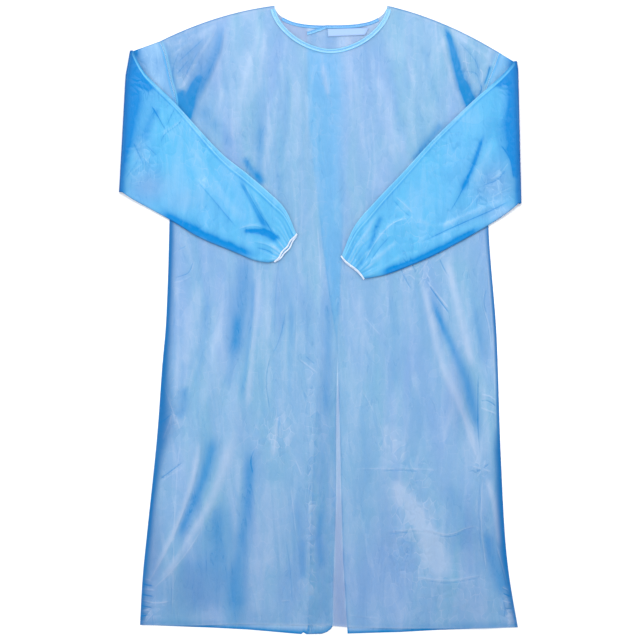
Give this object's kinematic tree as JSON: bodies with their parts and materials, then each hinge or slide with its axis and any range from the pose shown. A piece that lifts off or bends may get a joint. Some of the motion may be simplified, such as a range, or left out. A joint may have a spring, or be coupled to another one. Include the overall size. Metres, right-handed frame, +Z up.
{
  "type": "long-sleeved film apron",
  "caption": "Light-blue translucent film apron with long sleeves, bound round neck, split back and elastic cuffs, laid flat with its sleeves folded in over the front.",
  "frame": {"origin": "centre of the bounding box, on the surface that the garment lies on", "axes": "+Y from the hem to the neck, +Z up out of the front, +X to the right as seen from above"},
  "size_m": [0.7542, 1.178, 0.012],
  "materials": {
    "film": "thin translucent crinkled film, soft gloss",
    "sleeve_film": "thin translucent crinkled film, more layers deep",
    "binding": "doubled film strip with stitch lines",
    "elastic": "white elastic, matt",
    "tape": "pale fastening strip, matt"
  },
  "bodies": {
    "root": {"front": "film", "back_left": "film", "back_right": "film", "back_left_facing": "film", "sleeve_left": "sleeve_film", "sleeve_right": "sleeve_film", "cuff_elastic_left": "elastic", "cuff_elastic_right": "elastic", "neck_binding_front": "binding", "neck_binding_back_left": "binding", "neck_binding_back_right": "binding", "neck_tape": "tape"}
  },
  "joints": []
}
